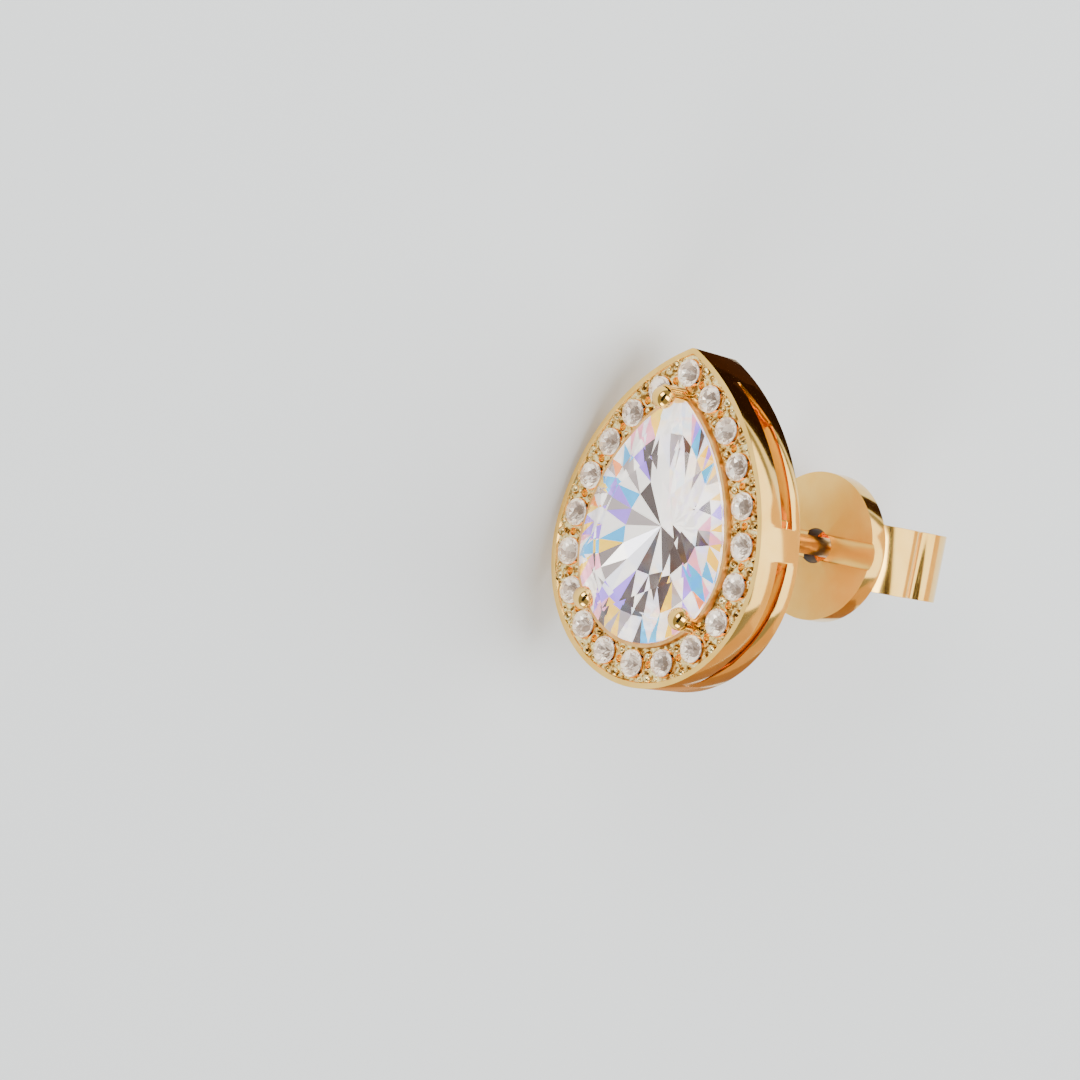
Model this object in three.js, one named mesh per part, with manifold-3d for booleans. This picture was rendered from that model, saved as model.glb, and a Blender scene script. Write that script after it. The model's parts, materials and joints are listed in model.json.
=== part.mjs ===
// A teardrop stud earring and its butterfly back, lying unworn on a flat surface. Millimetres, +Z up.
// Each piece is drawn in the earring's own frame and the whole is then laid down. In that frame the
// face looks along -Y, the post runs along +Y, the tip points along +Z and the round end is centred on
// the Y axis, with the front of the plain rim at y = 0.
import * as THREE from "three";
import { mergeVertices } from "three/addons/utils/BufferGeometryUtils.js";
import { ConvexHull } from "three/addons/math/ConvexHull.js";
import Module from "manifold-3d";

// The head's teardrop outline.
const HEAD_WIDTH = 9.9;
const HEAD_HEIGHT = 12.3;
const FLANK_START = THREE.MathUtils.degToRad(5); // where the round end passes into the straighter flanks
const TIP_RADIUS = 0.38;
const HEAD_DEPTH = 2.2;
const REAR_TAPER = 0.08; // how far the rear edge lies inside the front edge
const EDGE_BEVEL = 0.1;
const RIM_WIDTH = 0.2;
const PAVE_SINK = 0.07; // the floor between the small stones lies this far below the rim
const PLATE_DEPTH = 0.85;
const GALLERY_WALL = 0.7;

// The main stone, whose edge lies this far inside the head's outline, and the collar under it.
const STONE_INSET = 1.6;
const STONE_GIRDLE_Y = -0.15;
const GIRDLE_HEIGHT = 0.12;
const CROWN_HEIGHT = 0.9;
const PAVILION_DEPTH = 1.8;
const TABLE_SHARE = 0.58;
const STONE_CLEARANCE = 0.05;
const COLLAR_RISE = 0.2;
const COLLAR_LIP = 0.15;
const COLLAR_WALL = 0.32;

// The small stones of the halo.
const HALO_COUNT = 20;
const HALO_DIAMETER = 0.98;
const HALO_INSET = 0.85;
const HALO_GIRDLE_Y = -0.02;
const HALO_CROWN = 0.16;
const HALO_GIRDLE_HEIGHT = 0.05;
const HALO_PAVILION = 0.42;
const HALO_TABLE_SHARE = 0.56;
const HALO_CLEARANCE = 0.05;
const SEAT_FLOOR_RADIUS = 0.18;
const GRAIN_RADIUS = 0.2;
const GRAIN_OUTER_INSET = 0.36;
const GRAIN_INNER_INSET = 1.2;

// The three claws.
const CLAW_DIAMETER = 0.6;
const CLAW_BALL_DIAMETER = 0.84;
const CLAW_FOOT_Y = 0.5;
const CLAW_REACH = 0.18; // how far a ball sits over the stone from its rod
const LOWER_BALL_Y = -0.6;
const LOWER_CLAW_ANGLE = THREE.MathUtils.degToRad(43); // below the widest line
const TIP_BALL_Y = -1.1;

// The two slots in each side of the gallery. Their ends are shares of the way from the tip to the
// bottom, and each edge runs from one distance behind the front to another.
const UPPER_SLOT_START = 0.1;
const UPPER_SLOT_END = 0.445;
const UPPER_SLOT_FRONT_Y = [0.9, 1.15];
const UPPER_SLOT_REAR_Y = [1.6, 1.75];
const LOWER_SLOT_START = 0.517;
const LOWER_SLOT_END = 0.88;
const LOWER_SLOT_FRONT_Y = [1.05, 0.95];
const LOWER_SLOT_REAR_Y = [1.62, 1.15];
const SLOT_POINT_SHARE = 0.3; // the part of a slot's length over which it narrows to its far end
const SLOT_SLIM = 0.2; // its width at that end, as a share of its full width

// The bar across the back, the boss on it and the ear post.
const BRIDGE_WIDTH = 1.6;
const BRIDGE_THICKNESS = 0.5;
const BOSS_DIAMETER = 2.0;
const BOSS_HEIGHT = 0.3;
const POST_DIAMETER = 0.72;
const POST_LENGTH = 11.55;
const POST_HEIGHT = 1.2; // above the centre of the round end

// The butterfly back.
const LOBE_GAP = 6.1; // from the boss to the back, where an ear lobe goes
const DISC_DIAMETER = 5.5;
const DISC_THICKNESS = 0.75;
const DISC_EDGE = 0.2;
const DISC_HOLE_DIAMETER = 1.3;
const GROOVE_WIDTH = 1.0;
const GROOVE_DEPTH = 0.2;
const STRIP_THICKNESS = 0.34;
const STRIP_HEIGHT = 2.5;
const SCROLL_SPAN = 4.9;
const SCROLL_LENGTH = 4.65;
const SCROLL_POST_GAP = 0.07;
const SCROLL_TURN = THREE.MathUtils.degToRad(290);
const SCROLL_TIGHTEN = 0.45;
const WELD = 0.03; // how far one drawn piece reaches into the next before they are joined

// How finely the curves are drawn.
const TIP_STEPS = 2;
const FLANK_STEPS = 11;
const ROUND_STEPS = 13;
const STONE_MAINS = 8;
const KITE_STEPS = 4; // the sides of the main stone's girdle beside each kite
const SLOT_STEPS = 10;
const SEAT_SIDES = 10;
const CLAW_SIDES = 12;
const POST_SIDES = 16;
const DISC_SIDES = 40;
const SCROLL_STEPS = 22;

// Densities in g/cm3, for the balance of the lying earring.
const GOLD_DENSITY = 10.3;
const STONE_DENSITY = 5.7;

const wasm = await Module();
wasm.setup();

const GOLD = { color: 0xe3b469, roughness: 0.16, metalness: 1 };
const STONE = { color: 0xf4f2f6, roughness: 0.03, metalness: 0 };

// The teardrop is a round end, two flank arcs tangent to it and a small arc at the tip.
const roundRadius = HEAD_WIDTH / 2;
const tipHeight = HEAD_HEIGHT - roundRadius;
const flankExtra = flankOffset();
const flankRadius = roundRadius + flankExtra;
const flankX = -flankExtra * Math.cos(FLANK_START);
const flankZ = -flankExtra * Math.sin(FLANK_START);
const tipCentreZ = flankZ + Math.sqrt((flankRadius - TIP_RADIUS) ** 2 - flankX ** 2);
const tipAngle = Math.atan2(tipCentreZ - flankZ, -flankX);
const tipLength = TIP_RADIUS * (Math.PI / 2 - tipAngle);
const flankLength = flankRadius * (tipAngle - FLANK_START);
const roundLength = roundRadius * (FLANK_START + Math.PI / 2);
const halfLength = tipLength + flankLength + roundLength;

// The distance from the round end's centre to a flank's centre, which puts the tip at its height.
function flankOffset() {
  const rise = tipHeight * Math.sin(FLANK_START);
  const sharp = (tipHeight ** 2 - roundRadius ** 2) / (2 * (roundRadius - rise));
  let offset = sharp;
  for (let pass = 0; pass < 20; pass++) {
    const radius = roundRadius + offset - TIP_RADIUS;
    const x = offset * Math.cos(FLANK_START);
    const top = Math.sqrt(radius ** 2 - x ** 2) - offset * Math.sin(FLANK_START) + TIP_RADIUS;
    offset += (tipHeight - top) * sharp / tipHeight;
  }
  return offset;
}

// A point on the outline moved inwards by inset, at a share of the way from the tip to the bottom.
function pearPoint(share, inset, side) {
  const way = share * halfLength;
  if (way < tipLength && inset < TIP_RADIUS) {
    const angle = Math.PI / 2 - way / TIP_RADIUS;
    const radius = TIP_RADIUS - inset;
    return { x: side * radius * Math.cos(angle), z: tipCentreZ + radius * Math.sin(angle) };
  }
  if (way < tipLength + flankLength) {
    const radius = flankRadius - inset;
    const end = inset < TIP_RADIUS ? tipAngle : Math.acos(-flankX / radius);
    const done = Math.max(0, way - tipLength) / flankLength;
    const angle = THREE.MathUtils.lerp(end, FLANK_START, done);
    return { x: side * (flankX + radius * Math.cos(angle)), z: flankZ + radius * Math.sin(angle) };
  }
  const radius = roundRadius - inset;
  const angle = FLANK_START - (way - tipLength - flankLength) / roundRadius;
  return { x: side * radius * Math.cos(angle), z: radius * Math.sin(angle) };
}

// Points at equal steps round the whole outline, the first at the tip.
function alongPear(inset, count) {
  const SAMPLES = 600;
  const walk = [];
  let length = 0;
  for (let i = 0; i <= SAMPLES; i++) {
    const point = pearPoint(i / SAMPLES, inset, 1);
    if (i > 0) length += Math.hypot(point.x - walk[i - 1].x, point.z - walk[i - 1].z);
    walk.push({ ...point, length });
  }
  const half = count / 2;
  const points = [];
  for (let i = 0; i < count; i++) {
    const side = i <= half ? 1 : -1;
    const wanted = (Math.min(i, count - i) / half) * length;
    const found = walk.find((step) => step.length >= wanted - 1e-9) ?? walk[SAMPLES];
    points.push({ x: side * found.x, z: found.z });
  }
  return points;
}

function pearHalfWidth(z, inset) {
  const ring = alongPear(inset, 240);
  const near = ring.filter((point) => point.x > 0 && Math.abs(point.z - z) < HEAD_HEIGHT / 60);
  return near.reduce((sum, point) => sum + point.x, 0) / near.length;
}

// A closed surface as a solid, with its faces turned outwards.
function toSolid(geometry) {
  const bare = new THREE.BufferGeometry();
  bare.setAttribute("position", geometry.getAttribute("position"));
  bare.setIndex(geometry.index);
  const merged = mergeVertices(bare, 1e-5);
  const position = merged.getAttribute("position");
  const corners = [];
  let volume = 0;
  const [a, b, c] = [new THREE.Vector3(), new THREE.Vector3(), new THREE.Vector3()];
  for (let i = 0; i < merged.index.count; i += 3) {
    const face = [merged.index.getX(i), merged.index.getX(i + 1), merged.index.getX(i + 2)];
    if (new Set(face).size < 3) continue;
    corners.push(face);
    a.fromBufferAttribute(position, face[0]);
    b.fromBufferAttribute(position, face[1]);
    c.fromBufferAttribute(position, face[2]);
    volume += a.dot(b.cross(c));
  }
  const triVerts = new Uint32Array(corners.flatMap((face) => (volume < 0 ? face.reverse() : face)));
  return new wasm.Manifold(new wasm.Mesh({ numProp: 3, vertProperties: position.array, triVerts }));
}

// A solid through a row of like sections, each a list of points. A ring of sections closes on itself.
function loft(sections, ring = false) {
  const points = sections.flat();
  const count = sections[0].length;
  const faces = [];
  const steps = ring ? sections.length : sections.length - 1;
  for (let i = 0; i < steps; i++) {
    const here = i * count;
    const next = ((i + 1) % sections.length) * count;
    for (let j = 0; j < count; j++) {
      const k = (j + 1) % count;
      faces.push(here + j, here + k, next + j, here + k, next + k, next + j);
    }
  }
  if (!ring) {
    const last = (sections.length - 1) * count;
    for (let j = 1; j < count - 1; j++) faces.push(0, j + 1, j, last, last + j, last + j + 1);
  }
  return surface(points, faces);
}

function surface(points, faces) {
  const geometry = new THREE.BufferGeometry().setFromPoints(points);
  geometry.setIndex(faces);
  return toSolid(geometry);
}

// A turned piece: its outline is a list of [radius, y], and its axis is parallel to Y at x, z.
function turned(outline, sides, x = 0, z = 0) {
  const profile = outline.map(([radius, y]) => new THREE.Vector2(radius, y));
  const geometry = new THREE.LatheGeometry(profile, sides);
  return toSolid(geometry.translate(x, 0, z));
}

function block(width, depth, height, x, y, z) {
  return toSolid(new THREE.BoxGeometry(width, depth, height).translate(x, y, z));
}

function joined(solids) {
  return solids.reduce((whole, solid) => whole.add(solid));
}

function toMesh(solid, name, look, density) {
  const raw = solid.getMesh();
  const geometry = new THREE.BufferGeometry();
  geometry.setAttribute("position", new THREE.BufferAttribute(new Float32Array(raw.vertProperties), 3));
  geometry.setIndex(new THREE.BufferAttribute(new Uint32Array(raw.triVerts), 1));
  const faceted = geometry.toNonIndexed();
  faceted.computeVertexNormals();
  const mesh = new THREE.Mesh(faceted, new THREE.MeshStandardMaterial(look));
  mesh.name = name;
  mesh.userData.density = density;
  return mesh;
}

// A brilliant: the table, a ring of star points, the girdle's two edges, a ring of lower points and the
// culet. Each ring is the edge drawn in towards the middle, and mains says how many kites it has.
function brilliant(edge, mains, sizes) {
  const middle = { x: 0, z: 0 };
  const count = edge.length;
  const step = count / mains;
  const point = (corner, share, y) =>
    new THREE.Vector3(
      THREE.MathUtils.lerp(middle.x, corner.x, share),
      y,
      THREE.MathUtils.lerp(middle.z, corner.z, share),
    );
  const girdleTop = sizes.girdleY - sizes.girdleHeight;
  const lean = Math.cos(Math.PI / mains);
  const starShare = (1 + sizes.table) / 2;
  const starRise = (sizes.crown * (1 - starShare * lean)) / (1 - sizes.table);
  const lowShare = 0.26;
  const lowDrop = sizes.pavilion * (1 - lowShare * lean);
  const points = [];
  const add = (list) => {
    points.push(...list);
    return points.length - list.length;
  };
  const main = Array.from({ length: mains }, (_, k) => edge[k * step]);
  const between = Array.from({ length: mains }, (_, k) => edge[k * step + step / 2]);
  const table = add(main.map((corner) => point(corner, sizes.table, girdleTop - sizes.crown)));
  const star = add(between.map((corner) => point(corner, starShare, girdleTop - starRise)));
  const upper = add(edge.map((corner) => point(corner, 1, girdleTop)));
  const lower = add(edge.map((corner) => point(corner, 1, sizes.girdleY)));
  const low = add(between.map((corner) => point(corner, lowShare, sizes.girdleY + lowDrop)));
  const culet = add([point(middle, 0, sizes.girdleY + sizes.pavilion)]);
  const faces = [];
  for (let k = 1; k < mains - 1; k++) faces.push(table, table + k, table + k + 1);
  for (let k = 0; k < mains; k++) {
    const next = (k + 1) % mains;
    const [here, after] = [k * step, next * step];
    faces.push(table + k, star + k, table + next);
    faces.push(table + k, upper + here, star + k, table + next, star + k, upper + after);
    faces.push(culet, low + k, lower + here, culet, lower + after, low + k);
    for (let i = 0; i < step; i++) {
      const [one, two] = [here + i, (here + i + 1) % count];
      faces.push(star + k, upper + one, upper + two);
      faces.push(low + k, lower + two, lower + one);
      faces.push(upper + one, lower + one, lower + two, upper + one, lower + two, upper + two);
    }
  }
  return surface(points, faces);
}

function mainStone(grow) {
  return brilliant(alongPear(STONE_INSET - grow, STONE_MAINS * KITE_STEPS), STONE_MAINS, {
    table: TABLE_SHARE,
    crown: CROWN_HEIGHT,
    girdleY: STONE_GIRDLE_Y + grow,
    girdleHeight: GIRDLE_HEIGHT + 2 * grow,
    pavilion: PAVILION_DEPTH,
  });
}

// A small round stone with an eight-sided table, eight crown facets and eight pavilion facets.
function haloStone(place) {
  const radius = HALO_DIAMETER / 2;
  const girdleTop = HALO_GIRDLE_Y - HALO_GIRDLE_HEIGHT;
  const outline = [
    [0, girdleTop - HALO_CROWN],
    [radius * HALO_TABLE_SHARE, girdleTop - HALO_CROWN],
    [radius, girdleTop],
    [radius, HALO_GIRDLE_Y],
    [0, HALO_GIRDLE_Y + HALO_PAVILION],
  ];
  return turned(outline, STONE_MAINS, place.x, place.z);
}

// The hole that a small stone sits in: a straight mouth, then a cone through the plate.
function haloSeat(place) {
  const radius = HALO_DIAMETER / 2 + HALO_CLEARANCE;
  const outline = [
    [0, -HALO_DIAMETER],
    [radius, -HALO_DIAMETER],
    [radius, HALO_GIRDLE_Y + HALO_CLEARANCE],
    [SEAT_FLOOR_RADIUS, HALO_GIRDLE_Y + HALO_PAVILION],
    [SEAT_FLOOR_RADIUS, PLATE_DEPTH + WELD],
    [0, PLATE_DEPTH + WELD],
  ];
  return turned(outline, SEAT_SIDES, place.x, place.z);
}

// The head's wall, from one profile carried round the outline.
function headRing() {
  const collarOuter = STONE_INSET - COLLAR_LIP;
  const collarInner = collarOuter + COLLAR_WALL;
  const profile = [
    [0, EDGE_BEVEL],
    [EDGE_BEVEL, 0],
    [RIM_WIDTH, 0],
    [RIM_WIDTH + PAVE_SINK / 2, PAVE_SINK],
    [collarOuter, PAVE_SINK],
    [collarOuter, -COLLAR_RISE],
    [collarInner, -COLLAR_RISE],
    [collarInner, PLATE_DEPTH],
    [GALLERY_WALL, PLATE_DEPTH],
    [GALLERY_WALL, HEAD_DEPTH],
    [REAR_TAPER + EDGE_BEVEL, HEAD_DEPTH],
    [REAR_TAPER, HEAD_DEPTH - EDGE_BEVEL],
  ];
  const tip = tipLength / halfLength;
  const flank = (tipLength + flankLength) / halfLength;
  const shares = [];
  for (let i = 0; i < TIP_STEPS; i++) shares.push((tip * i) / TIP_STEPS);
  for (let i = 0; i < FLANK_STEPS; i++) shares.push(tip + ((flank - tip) * i) / FLANK_STEPS);
  for (let i = 0; i <= ROUND_STEPS; i++) shares.push(flank + ((1 - flank) * i) / ROUND_STEPS);
  const section = (share, side) =>
    profile.map(([inset, y]) => {
      const point = pearPoint(share, inset, side);
      return new THREE.Vector3(point.x, y, point.z);
    });
  const right = shares.map((share) => section(share, 1));
  const left = shares.slice(1, -1).map((share) => section(share, -1));
  return loft([...right, ...left.reverse()], true);
}

// One slot through the gallery wall. At its far end its rear edge closes in on its front edge.
function gallerySlot(start, end, frontY, rearY, side, pointedAtStart) {
  const outside = -GALLERY_WALL;
  const inside = GALLERY_WALL * 1.3;
  const sections = [];
  for (let i = 0; i <= SLOT_STEPS; i++) {
    const done = i / SLOT_STEPS;
    const fromPoint = pointedAtStart ? done : 1 - done;
    const open = THREE.MathUtils.lerp(SLOT_SLIM, 1, Math.min(1, fromPoint / SLOT_POINT_SHARE));
    const front = THREE.MathUtils.lerp(frontY[0], frontY[1], done);
    const rear = THREE.MathUtils.lerp(front, THREE.MathUtils.lerp(rearY[0], rearY[1], done), open);
    const share = THREE.MathUtils.lerp(start, end, done);
    const corners = [[outside, front], [inside, front], [inside, rear], [outside, rear]];
    sections.push(
      corners.map(([inset, y]) => {
        const point = pearPoint(share, inset, side);
        return new THREE.Vector3(point.x, y, point.z);
      }),
    );
  }
  return loft(sections);
}

// A claw: a rod that stands on the plate at x, z, with a ball at its head that leans over the stone.
function claw(x, z, ballY) {
  const rod = CLAW_DIAMETER / 2;
  const ball = CLAW_BALL_DIAMETER / 2;
  const ARC_STEPS = 7;
  const sphere = [];
  for (let i = 0; i <= ARC_STEPS; i++) {
    const angle = (Math.PI * i) / ARC_STEPS;
    sphere.push([ball * Math.sin(angle), ballY - ball * Math.cos(angle)]);
  }
  const stick = [[0, ballY], [rod, ballY], [rod, CLAW_FOOT_Y], [0, CLAW_FOOT_Y]];
  const inwards = 1 - CLAW_REACH / Math.hypot(x, z);
  const head = turned(sphere, CLAW_SIDES, x * inwards, z * inwards);
  return turned(stick, CLAW_SIDES, x, z).add(head);
}

function claws() {
  const tip = pearPoint(0, STONE_INSET, 1);
  const radius = roundRadius - STONE_INSET;
  const x = radius * Math.cos(LOWER_CLAW_ANGLE);
  const z = -radius * Math.sin(LOWER_CLAW_ANGLE);
  const lower = [claw(x, z, LOWER_BALL_Y), claw(-x, z, LOWER_BALL_Y)];
  return joined([claw(0, tip.z, TIP_BALL_Y), ...lower]);
}

// The bar that crosses the open back, its boss and the post.
function bridgeAndPost() {
  const half = pearHalfWidth(POST_HEIGHT, REAR_TAPER + GALLERY_WALL / 2);
  const bar = block(2 * half, BRIDGE_THICKNESS, BRIDGE_WIDTH, 0, HEAD_DEPTH - BRIDGE_THICKNESS / 2, POST_HEIGHT);
  const radius = POST_DIAMETER / 2;
  const base = HEAD_DEPTH - WELD;
  const bossTop = HEAD_DEPTH + BOSS_HEIGHT;
  const end = HEAD_DEPTH + POST_LENGTH;
  const outline = [
    [0, base],
    [BOSS_DIAMETER / 2, base],
    [BOSS_DIAMETER / 2, bossTop - EDGE_BEVEL],
    [BOSS_DIAMETER / 2 - EDGE_BEVEL, bossTop],
    [radius, bossTop],
    [radius, end - radius],
    [radius * 0.8, end - radius * 0.4],
    [radius * 0.4, end],
    [0, end],
  ];
  return bar.add(turned(outline, POST_SIDES, 0, POST_HEIGHT));
}

function grains() {
  const balls = [];
  for (const inset of [GRAIN_OUTER_INSET, GRAIN_INNER_INSET]) {
    alongPear(inset, 2 * HALO_COUNT).forEach((place, i) => {
      if (i % 2 === 0) return;
      const ball = new THREE.SphereGeometry(GRAIN_RADIUS, 6, 4);
      balls.push(toSolid(ball.rotateX(Math.PI / 2).translate(place.x, PAVE_SINK, place.z)));
    });
  }
  return joined(balls);
}

function setting(places) {
  const seats = joined(places.map(haloSeat));
  let solid = headRing().add(grains()).subtract(seats);
  for (const side of [1, -1]) {
    const upper = [UPPER_SLOT_START, UPPER_SLOT_END, UPPER_SLOT_FRONT_Y, UPPER_SLOT_REAR_Y];
    const lower = [LOWER_SLOT_START, LOWER_SLOT_END, LOWER_SLOT_FRONT_Y, LOWER_SLOT_REAR_Y];
    solid = solid.subtract(gallerySlot(...upper, side, true));
    solid = solid.subtract(gallerySlot(...lower, side, false));
  }
  solid = solid.add(claws()).subtract(mainStone(STONE_CLEARANCE));
  return solid.add(bridgeAndPost());
}

// One scroll of the back: a strip that leaves the disc beside its hole, bulges out, and rolls in again
// beside the post until its end lies inside the roll.
function scroll(discRear, side) {
  const half = STRIP_THICKNESS / 2;
  const inner = POST_DIAMETER / 2 + SCROLL_POST_GAP + half;
  const outer = SCROLL_SPAN / 2 - half;
  const [centreX, radiusX] = [(inner + outer) / 2, (outer - inner) / 2];
  const radiusY = (SCROLL_LENGTH - STRIP_THICKNESS) / 2;
  const centreY = discRear - WELD + half + radiusY;
  const path = [new THREE.Vector2(DISC_HOLE_DIAMETER / 2 + half, centreY - radiusY)];
  for (let i = 0; i <= SCROLL_STEPS; i++) {
    const angle = (SCROLL_TURN * i) / SCROLL_STEPS;
    const past = Math.max(0, angle - Math.PI) / (SCROLL_TURN - Math.PI);
    const size = 1 - SCROLL_TIGHTEN * past;
    path.push(
      new THREE.Vector2(
        centreX + radiusX * (Math.sin(angle) * size),
        centreY - radiusY * Math.cos(angle) * size,
      ),
    );
  }
  const sections = path.map((point, i) => {
    const before = path[Math.max(0, i - 1)];
    const after = path[Math.min(path.length - 1, i + 1)];
    const along = after.clone().sub(before).normalize();
    const across = new THREE.Vector2(-along.y, along.x).multiplyScalar(half);
    const low = POST_HEIGHT - STRIP_HEIGHT / 2;
    const high = POST_HEIGHT + STRIP_HEIGHT / 2;
    return [
      new THREE.Vector3(side * (point.x - across.x), point.y - across.y, low),
      new THREE.Vector3(side * (point.x + across.x), point.y + across.y, low),
      new THREE.Vector3(side * (point.x + across.x), point.y + across.y, high),
      new THREE.Vector3(side * (point.x - across.x), point.y - across.y, high),
    ];
  });
  return loft(sections);
}

function earNut() {
  const front = HEAD_DEPTH + BOSS_HEIGHT + LOBE_GAP;
  const rear = front + DISC_THICKNESS;
  const rim = DISC_DIAMETER / 2;
  const outline = [
    [DISC_HOLE_DIAMETER / 2, front],
    [rim - DISC_EDGE, front],
    [rim - DISC_EDGE * 0.3, front + DISC_EDGE * 0.3],
    [rim, front + DISC_EDGE],
    [rim, rear - DISC_EDGE],
    [rim - DISC_EDGE * 0.3, rear - DISC_EDGE * 0.3],
    [rim - DISC_EDGE, rear],
    [DISC_HOLE_DIAMETER / 2, rear],
    [DISC_HOLE_DIAMETER / 2, front],
  ];
  const disc = turned(outline, DISC_SIDES, 0, POST_HEIGHT);
  const groove = block(2 * DISC_DIAMETER, 2 * GROOVE_DEPTH, GROOVE_WIDTH, 0, front, POST_HEIGHT);
  return disc.subtract(groove).add(scroll(rear, 1)).add(scroll(rear, -1));
}

// The earring lies on its left flank: of the faces of its convex hull that its balance point stands
// over, the one that looks most nearly along -X goes down, and the post is turned to run along +Y.
function layDown(group) {
  const corners = [];
  const balance = new THREE.Vector3();
  let weight = 0;
  const [a, b, c] = [new THREE.Vector3(), new THREE.Vector3(), new THREE.Vector3()];
  for (const mesh of group.children) {
    const position = mesh.geometry.getAttribute("position");
    for (let i = 0; i < position.count; i += 3) {
      a.fromBufferAttribute(position, i);
      b.fromBufferAttribute(position, i + 1);
      c.fromBufferAttribute(position, i + 2);
      corners.push(a.clone(), b.clone(), c.clone());
      const share = (mesh.userData.density * a.dot(b.clone().cross(c))) / 6;
      weight += share;
      balance.addScaledVector(a.clone().add(b).add(c), share / 4);
    }
  }
  balance.divideScalar(weight);
  const hull = new ConvexHull().setFromPoints(corners);
  let down = null;
  for (const face of hull.faces) {
    const foot = balance.clone().addScaledVector(face.normal, -face.distanceToPoint(balance));
    let edge = face.edge;
    let inside = true;
    do {
      const [from, to] = [edge.tail().point, edge.head().point];
      const turn = to.clone().sub(from).cross(foot.clone().sub(from)).dot(face.normal);
      inside = inside && turn >= -1e-9;
      edge = edge.next;
    } while (edge !== face.edge);
    if (inside && (down === null || face.normal.x < down.x)) down = face.normal.clone();
  }
  const floor = new THREE.Vector3(0, 0, -1);
  group.quaternion.setFromUnitVectors(down, floor);
  const post = new THREE.Vector3(0, 1, 0).applyQuaternion(group.quaternion);
  const turn = Math.PI / 2 - Math.atan2(post.y, post.x);
  group.quaternion.premultiply(new THREE.Quaternion().setFromAxisAngle(floor, -turn));
  group.updateMatrixWorld(true);
  const box = new THREE.Box3().setFromObject(group, true);
  group.position.set(-(box.min.x + box.max.x) / 2, -(box.min.y + box.max.y) / 2, -box.min.z);
}

const earring = new THREE.Group();
const haloPlaces = alongPear(HALO_INSET, HALO_COUNT);
earring.add(toMesh(setting(haloPlaces), "setting", GOLD, GOLD_DENSITY));
earring.add(toMesh(mainStone(0), "centre_stone", STONE, STONE_DENSITY));
haloPlaces.forEach((place, i) => {
  const name = "halo_stone_" + String(i + 1).padStart(2, "0");
  earring.add(toMesh(haloStone(place), name, STONE, STONE_DENSITY));
});
earring.add(toMesh(earNut(), "ear_nut", GOLD, GOLD_DENSITY));
layDown(earring);

const group = new THREE.Group();
group.add(earring);
export default group;
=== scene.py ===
import itertools
import json
import math
import random

import bmesh
import bpy
from mathutils import Matrix, Vector


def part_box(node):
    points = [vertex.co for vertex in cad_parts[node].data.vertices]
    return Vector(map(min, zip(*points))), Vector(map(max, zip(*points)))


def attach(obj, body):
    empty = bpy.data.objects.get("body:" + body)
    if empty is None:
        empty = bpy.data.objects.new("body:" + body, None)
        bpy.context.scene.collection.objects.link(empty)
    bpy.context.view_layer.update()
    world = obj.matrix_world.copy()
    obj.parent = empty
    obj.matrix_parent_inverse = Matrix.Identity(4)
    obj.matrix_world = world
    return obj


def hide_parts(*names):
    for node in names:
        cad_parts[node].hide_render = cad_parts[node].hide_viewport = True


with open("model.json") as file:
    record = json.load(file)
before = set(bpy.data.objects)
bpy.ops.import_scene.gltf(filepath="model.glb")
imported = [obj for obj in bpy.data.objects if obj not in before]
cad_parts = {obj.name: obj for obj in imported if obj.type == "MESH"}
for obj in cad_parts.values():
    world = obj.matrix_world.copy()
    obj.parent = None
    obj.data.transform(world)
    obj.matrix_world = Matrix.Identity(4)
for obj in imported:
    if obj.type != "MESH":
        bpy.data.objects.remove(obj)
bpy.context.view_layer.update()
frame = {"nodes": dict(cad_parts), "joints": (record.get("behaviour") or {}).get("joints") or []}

# The earring's own frame, in millimetres: the face looks along -Y, the post runs along +Y and the tip
# points along +Z, from the centre of the teardrop's round end. It is found from the pieces as they lie:
# the slide's axis gives the post, two small stones the line from the bottom to the tip.
MM = 0.001
CULET_Y = 1.65


def middle(node):
    low, high = (Vector(corner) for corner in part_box(node))
    return (low + high) / 2


post_way = Vector(frame["joints"][0]["axis"]).normalized()
tip_way = (middle("halo_stone_01") - middle("halo_stone_11")).normalized()
side_way = post_way.cross(tip_way)
stone_corners = [vertex.co for vertex in frame["nodes"]["centre_stone"].data.vertices]
culet = max(stone_corners, key=lambda corner: corner.dot(post_way))
own_origin = culet - post_way * CULET_Y * MM
turned = Matrix((side_way, post_way, tip_way)).transposed().to_4x4()
own = Matrix.Translation(own_origin) @ turned @ Matrix.Scale(MM, 4)

# The camera. It sees the face from the wearer's left, level with the earring, as in the photograph, so
# it looks down at the lying earring. A long lens keeps the back as large as the face.
VIEW_SIDE = math.radians(43)
VIEW_RISE = math.radians(1.2)
VIEW_ROLL = math.radians(11.2)
VIEW_DISTANCE = 200 * MM
PIXELS_PER_MM = 28.06
FRAME_PIXELS = 1080
ORIGIN_PIXEL = (654.2, 550.5)

away = Vector((
    math.sin(VIEW_SIDE) * math.cos(VIEW_RISE),
    -math.cos(VIEW_SIDE) * math.cos(VIEW_RISE),
    math.sin(VIEW_RISE),
))
level = Vector((math.cos(VIEW_SIDE), math.sin(VIEW_SIDE), 0))
upward = away.cross(level)
right = level * math.cos(VIEW_ROLL) + upward * math.sin(VIEW_ROLL)
above = upward * math.cos(VIEW_ROLL) - level * math.sin(VIEW_ROLL)
right, above, away = (turned.to_3x3() @ way for way in (right, above, away))
across = (FRAME_PIXELS / 2 - ORIGIN_PIXEL[0]) / PIXELS_PER_MM * MM
along = (ORIGIN_PIXEL[1] - FRAME_PIXELS / 2) / PIXELS_PER_MM * MM
eye = own_origin + away * VIEW_DISTANCE + right * across + above * along

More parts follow.
